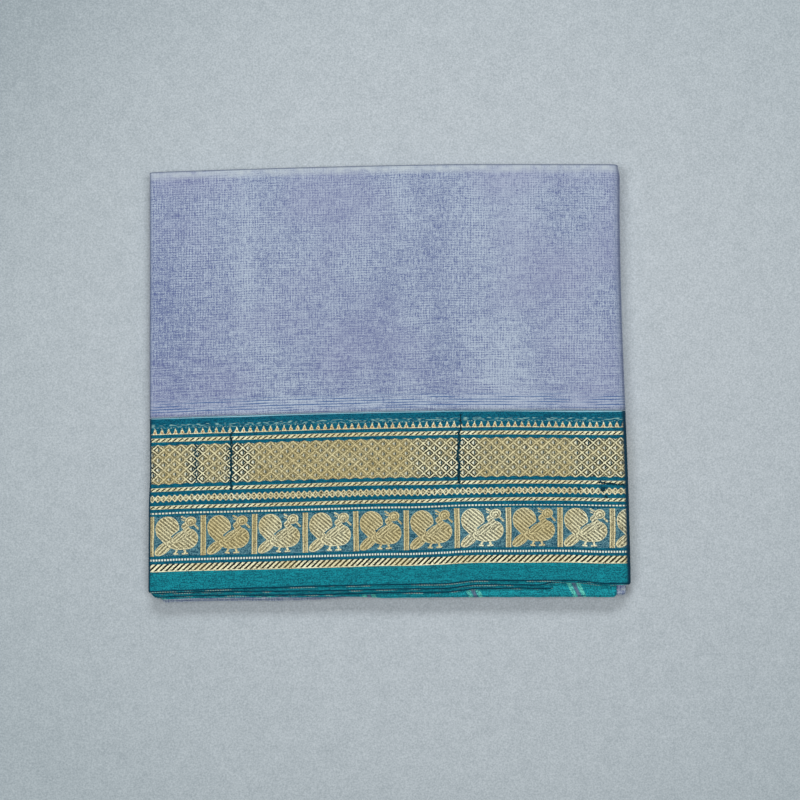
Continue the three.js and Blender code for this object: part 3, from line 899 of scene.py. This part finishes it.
def bird_border():
    """The row of birds between upright bars, with a dotted line on each side and a thick rope below."""
    material, tree, u, v, shader = new_cloth("brocade_birds")
    x, y = border_coordinates(u, v)
    # The birds stand a little closer together right of the middle.
    x = x + held((u + 84.0) / 154.0) * 2.4 - held((u - 100.0) / 50.0) * 0.8
    band = between(y, BIRD_TOP - 0.2, BIRD_TOP + BIRD_HEIGHT + 0.2)
    unit = repeat(x - FIRST_BAR, BIRD_PITCH)
    nearest_bar = repeat(x - FIRST_BAR + BIRD_PITCH / 2, BIRD_PITCH) - BIRD_PITCH / 2
    bird_cover, bird_bright = bird(unit, y - BIRD_TOP)
    bar_cover, bar_bright = bars(nearest_bar, y)
    upper_dots, lower_dots = dots(x, y, *UPPER_DOTS), dots(x, y, *LOWER_DOTS)
    line = high(upper_dots, lower_dots)
    rope_top, rope_bottom = THICK_ROPE
    rope_band = between(y, rope_top, rope_bottom)
    lower_rim = between(y, rope_bottom - 0.6, rope_bottom)
    thick = high(rope(x, y, rope_top, rope_bottom, 1.1, 0.52), lower_rim) * rope_band
    yarn = teal_yarn(u, v)
    plain = mixed(held(yarn * 1.3 + 0.5), BAND_LOW, BAND_HIGH)
    speckled = mixed(held(yarn * 2.4 + 0.48), colour(8, 68, 90), colour(104, 150, 160))
    ground = mixed(band * 0.95, plain, speckled)
    ground = mixed(inside(rope_bottom - y), ground, teal_ground(yarn))
    cover = high(high(bird_cover, bar_cover) * band, line, rope_band)
    bright = high(high(bird_bright, bar_bright) * band, thick)
    # How open and shiny each bird's gold lies: painted highlights on its threads and painted shade between
    # them.
    contrast = noise(u / 30, v / 40, 35) * 0.6 - 0.2
    for number, openness_and_shine in enumerate(BIRD_OPENNESS_AND_SHINE):
        middle = FIRST_BAR + BIRD_PITCH * (number + 0.5)
        contrast = contrast + held(1.7 - size(x - middle) / (BIRD_PITCH / 3)) * openness_and_shine
    contrast = contrast * (1.0 - rope_band) + rope_band * (noise(u / 20, v / 60, 36) * 1.8 - 0.05)
    white = upper_dots * 0.6 + lower_dots * 0.9
    brocaded(tree, u, v, ground, cover, high(bright, line), contrast, shader, white)
    return material


def dashed(u, v):
    """A faint broken line of dashes along u, which comes and goes and isn't the same on any two laps."""
    there = held(noise(u / 9, v / 1.4, 43) * 6.0 - 2.9)
    return dots(u + v * 0.6, u * 0.0, 0.0, 1.75, 1.05, 4.0) * there * 0.5


def selvedge_cloth():
    """Plain teal with fine level yarns, for the selvedge strip below the figures."""
    material, tree, u, v, shader = new_cloth("teal_selvedge")
    yarn = teal_yarn(u, v)
    base = mixed(held(value_of(tree, "tone")), teal_ground(yarn), lavender_ply(u, v))
    base = mixed(dashed(u, v) * value_of(tree, "edge"), base, CREAM)
    base = seam_shaded(tree, base)
    # Painted shade where the wall turns down and stands upright.
    base = mixed(held(value_of(tree, "side") * 4.5 - 0.7), base, TEAL_TURN_SHADE)
    finished(tree, shader, base, yarn, 0.12, 0.85)
    return material


STRIPE_PITCH, STRIPE_AT = 72.7, 54.4  # between the stripe groups of the end piece, and where one lies


def pallu_cloth():
    """Teal with groups of stripes across the cloth: mint, grey and mint, with a teal hair line between."""
    material, tree, u, v, shader = new_cloth("teal_pallu")
    yarn = teal_yarn(u, v)
    leaning = u + v * 0.47 + varied(v / 4, u * 0.0, 41) * 0.5
    across = size(repeat(leaning - STRIPE_AT + STRIPE_PITCH / 2, STRIPE_PITCH) - STRIPE_PITCH / 2)
    # The pallu's teal is painted paler than the selvedges' to offset the shade it lies in below the front.
    teal = mixed(held(yarn * 1.5 + 0.5), colour(18, 96, 112), colour(32, 168, 180))
    base = mixed(between(across, 1.75, 4.8) * held(yarn * 2.0 + 0.75), teal, colour(106, 214, 194))
    base = mixed(inside(across - 1.3) * held(yarn * 1.5 + 0.85), base, colour(104, 118, 144))
    base = seam_shaded(tree, base, 0.35)
    finished(tree, shader, base, yarn, 0.12, 0.85)
    return material


def ply_cloth():
    """The laps beneath the front: teal or lavender by the piece's tone, with cream dashes on cut edges and
    glimpses of the figures along the sides."""
    material, tree, u, v, shader = new_cloth("lap_edges")
    yarn = teal_yarn(u, v)
    teal = teal_ground(yarn)
    figures = between(v, 13, 113) * inside(size(repeat(v, 7.3) - 3.6) - 2.1) * held(yarn * 2.0 + 0.7)
    teal = mixed(figures * 0.8, teal, GOLD_MIDDLE)
    base = mixed(dashed(u, v) * value_of(tree, "edge"), teal, CREAM)
    base = mixed(held(value_of(tree, "tone")), base, lavender_ply(u, v))
    base = seam_shaded(tree, base)
    finished(tree, shader, base, yarn, 0.10, 0.85)
    return material


# ---- The pieces
def outer_body(cloth):
    """The plain part of the outermost lap, from the join to its rounded upper fold."""
    outside = [(v, 0) for v in np.linspace(JOIN + GAP / 2, LAP_HEIGHT - LAP / 2, 66)]
    turn = np.linspace(0, math.pi, 9)[1:-1]
    fold = [(LAP_HEIGHT - LAP / 2 + LAP / 2 * math.sin(a), LAP / 2 * (1 - math.cos(a))) for a in turn]
    section = [(v, depth, 1, 0, 0) for v, depth in outside + fold]
    within = [(v, LAP, 1, 0, 0) for v in np.linspace(LAP_HEIGHT - LAP / 2, JOIN + GAP / 2, 14)]
    return outermost_lap("outer_body_cloth", section, within, [cloth], lambda v: 0)


def outer_border(upper, birds, plain):
    """The border of the outermost lap, with the edges of three plies along its selvedge."""
    rim = [(-reach, LAP * share, tone, edge, deep) for reach, share, tone, edge, deep in SELVEDGE_RIM[::-1]]
    birds_v, plain_v = JOIN - BAND_EDGE_BIRDS, JOIN - BAND_EDGE_SELVEDGE
    rows = np.concatenate([
        np.linspace(2.0, plain_v, 6)[:-1], np.linspace(plain_v, birds_v, 21)[:-1],
        np.linspace(birds_v, JOIN - GAP / 2, 34),
    ])  # fmt: skip
    outside = [(v, 0, 0, 0, 0) for v in rows]
    within = [(v, LAP, 0, 0, 0) for v in np.linspace(JOIN - GAP / 2, 1.2, 12)]

    def cloth_at(v):
        return 2 if v < plain_v else 1 if v < birds_v else 0

    return outermost_lap("outer_border_cloth", rim + outside, within, [upper, birds, plain], cloth_at)


def level(laps_down):
    """Height of the upper face of the lap that many laps below the front."""
    return STACK - laps_down * (LAP + GAP)


# Each lap has the z of its two faces, its insets at the left, right and upper edge, the radii of its left and
# right corners where they aren't the usual ones, and v of its lower edge at each x.
UNDER_LAP = {
    "low": level(1) - LAP, "high": level(1), "left": 2.4, "right": 9.9, "upper": 0.6,
    "lower": lambda x: -1.6 - 1.8 * smooth((x + 150) / 120) + 2.4 * smooth((x - 104) / 12),
}  # fmt: skip
TUCKED_END = {
    "low": level(2) - LAP, "high": level(2), "left": 1.5, "right": 54.8, "upper": 1.4, "corners": (6.0, 1.6),
    "lower": lambda x: -4.4 - 1.6 * smooth((x + 150) / 120),
}  # fmt: skip
PALLU_LAP = {
    "low": level(3) - LAP, "high": level(3), "left": 6.5, "right": 10.6, "upper": 3,
    "lower": lambda x: -4.9 - 1.9 * smooth((x + 150) / 110) - 2.1 * smooth((x + 36) / 40) - lift(x, 0),
}  # fmt: skip
BACK_FOLD = {
    "low": LEFT_TURN["bottom"] + LAP / 2 + GAP, "high": PALLU_LAP["low"] - GAP,
    "left": 9.0, "right": 3.6, "upper": 2.3,
    "lower": lambda x: -7.5 - 1.3 * smooth((x + 140) / 60) + 1.1 * smooth((x + 53) / 50) - lift(x, 0),
}  # fmt: skip


# Insets of the hidden laps: left, right, lower and upper, lowest first.
INNER_LAPS = [
    (2.4, 5.2, 0.8, 0.6), (1.4, 4.0, -0.4, 1.4), (2.0, 3.2, 0.6, 0.2),
    (3.2, 3.6, 1.0, 0.8), (2.4, 3.0, -0.2, 1.6), (4.2, 3.8, 0.5, 0.9),
]  # fmt: skip


def inner_laps(cloth):
    """The hidden laps as one piece: each lap's rim in turn, from the highest to the lowest."""
    bottom, top = LAP + GAP, LEFT_TURN["bottom"] - LAP / 2 - GAP
    thick = (top - bottom) / len(INNER_LAPS)
    slabs = []
    for k, (left, right, lower, upper) in enumerate(INNER_LAPS):
        slabs.append({
            "low": bottom + k * thick, "high": bottom + (k + 1) * thick, "left": left, "right": right,
            "lower": lambda x, lower=lower: lower + 0 * x, "upper": upper,
        })  # fmt: skip
    # Beside the outermost lap's tuck the stack goes on up to the next lap.
    slabs.append({
        "low": top, "high": top + LAP + GAP, "left": 9.0, "right": 3.4,
        "lower": lambda x: 0.4 + 0 * x, "upper": 1,
    })  # fmt: skip
    rings = []
    for k, lap in enumerate(reversed(slabs)):
        lap_ring = lap_rings(lap, 50 + 7 * k, plain=k % 2 == 1)
        first = 0 if k == 0 else 3
        last = len(lap_ring) if k == len(slabs) - 1 else len(lap_ring) - 3
        rings += lap_ring[first:last]
    return ringed_piece("inner_laps_cloth", rings, cloth)


# ---- Floor and light
ROOM_LIGHT = 0.14
LAMP_DISTANCE = 4.0
# Each softbox by the way from the middle of the stack to it, its width and depth, and its share of the light.
SOFTBOXES = [
    ("key", (0.0, 0.9, 1.0), 1.6, 1.0, 0.30),
    ("left", (-0.5, 0.0, 1.0), 1.4, 1.4, 0.29),
    ("right", (0.3, 0.0, 1.0), 1.2, 1.2, 0.27),
]


def add_floor():
    """A wide pale surface: a fine cloudy grain, and painted shade that makes it a little darker away from the
    middle.
    """
    points = np.array([(-6000, -6000, 0), (6000, -6000, 0), (6000, 6000, 0), (-6000, 6000, 0)], dtype=float)
    material, tree, u, v, shader = new_cloth("pale_floor")
    grain = varied(u / 1.1, v / 1.1, 51, 1) * 1.4 + varied(u / 9, v / 9, 52, 1) * 0.3
    # Painted shade: darker away from the middle, and more so towards the upper left corner.
    far = root((u - 45.0) * (u - 45.0) + (v - 10.0) * (v - 10.0)) / 330.0
    corner = held((v - u - 300.0) / 260.0) * 0.38
    middle = mixed(held(grain + 0.5), FLOOR_DARK, FLOOR_PALE)
    outer = mixed(held(grain + 0.5 - corner), FLOOR_FAR_DARK, FLOOR_FAR_PALE)
    base = mixed(held((far * far) * 0.75 - 0.1), middle, outer)
    tree.links.new(base, shader.inputs["Base Color"])
    shader.inputs["Roughness"].default_value = 0.9
    shader.inputs["Specular IOR Level"].default_value = 0.0
    floor = make_piece("floor", points, [[0, 1, 2, 3]], points[:, :2], [material])


def add_light(name, place, towards, sizes, watts):
    """A rectangular softbox that faces a point. sizes are its width and depth."""
    lamp = bpy.data.lights.new(name, "AREA")
    lamp.shape = "RECTANGLE"
    lamp.size, lamp.size_y = sizes
    lamp.energy = watts
    lamp_object = bpy.data.objects.new(name, lamp)
    direction = np.array(towards) - np.array(place)
    lamp_object.location = place
    tilt = math.atan2(math.hypot(*direction[:2]), -direction[2])
    lamp_object.rotation_euler = (tilt, 0, math.atan2(direction[1], direction[0]) - math.pi / 2)
    bpy.context.collection.objects.link(lamp_object)


def add_studio():
    """A pale room, two far softboxes beside the camera, and one towards the top for the long shadow."""
    world = bpy.data.worlds.new("studio")
    world.use_nodes = True
    background = world.node_tree.nodes["Background"]
    background.inputs["Color"].default_value = (1.0, 1.0, 1.0, 1)
    background.inputs["Strength"].default_value = ROOM_LIGHT
    bpy.context.scene.world = world
    for name, aim, width, depth, share in SOFTBOXES:
        # A lamp that faces a matt white floor from distance d, tilted by angle a, lights it to
        # watts * cos(a) / (pi^2 * d^2) of full white.
        length = math.sqrt(sum(c * c for c in aim))
        place = [c / length * LAMP_DISTANCE for c in aim]
        watts = share * (math.pi * LAMP_DISTANCE) ** 2 * length / aim[2]
        add_light(name, place, (0, 0, 0), (width, depth), watts)
    bpy.context.scene.view_settings.view_transform = "Standard"


add_camera()
lavender = body_cloth()
edges = ply_cloth()
body = outer_body(lavender)
border = outer_border(upper_border(), bird_border(), selvedge_cloth())
under = ringed_piece("under_lap_cloth", lap_rings(UNDER_LAP, 61), edges)
tucked = ringed_piece("tucked_end_cloth", lap_rings(TUCKED_END, 62), edges)
pallu = ringed_piece("pallu_lap_cloth", lap_rings(PALLU_LAP, 63), pallu_cloth())
back = ringed_piece("back_fold_cloth", lap_rings(BACK_FOLD, 64, plain=True), edges)
hidden = inner_laps(edges)
add_floor()
add_studio()

WRAP = 0.722  # metres of cloth along the outermost lap, from its tuck to the end of the back stretch
for piece, node, slot, flat, rests_on in (
    (body, "outer_body", "body_cloth", (WRAP, (LAP_HEIGHT - JOIN) * MM), ["under_lap_cloth", "floor"]),
    (border, "outer_border", "border_brocade", (WRAP, JOIN * MM), ["under_lap_cloth", "floor"]),
    (under, "under_lap", "selvedge_cloth", (0.326, 0.295), ["tucked_end_cloth"]),
    (tucked, "tucked_end", "selvedge_cloth", (0.280, 0.296), ["pallu_lap_cloth"]),
    (pallu, "pallu_lap", "pallu_cloth", (0.319, 0.297), ["back_fold_cloth"]),
    (back, "back_fold", "body_cloth", (0.323, 0.297), ["inner_laps_cloth"]),
    (hidden, "inner_laps", "body_cloth", (0.330, 0.292), ["outer_body_cloth", "outer_border_cloth"]),
):
    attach(piece, "root")
    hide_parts(node)
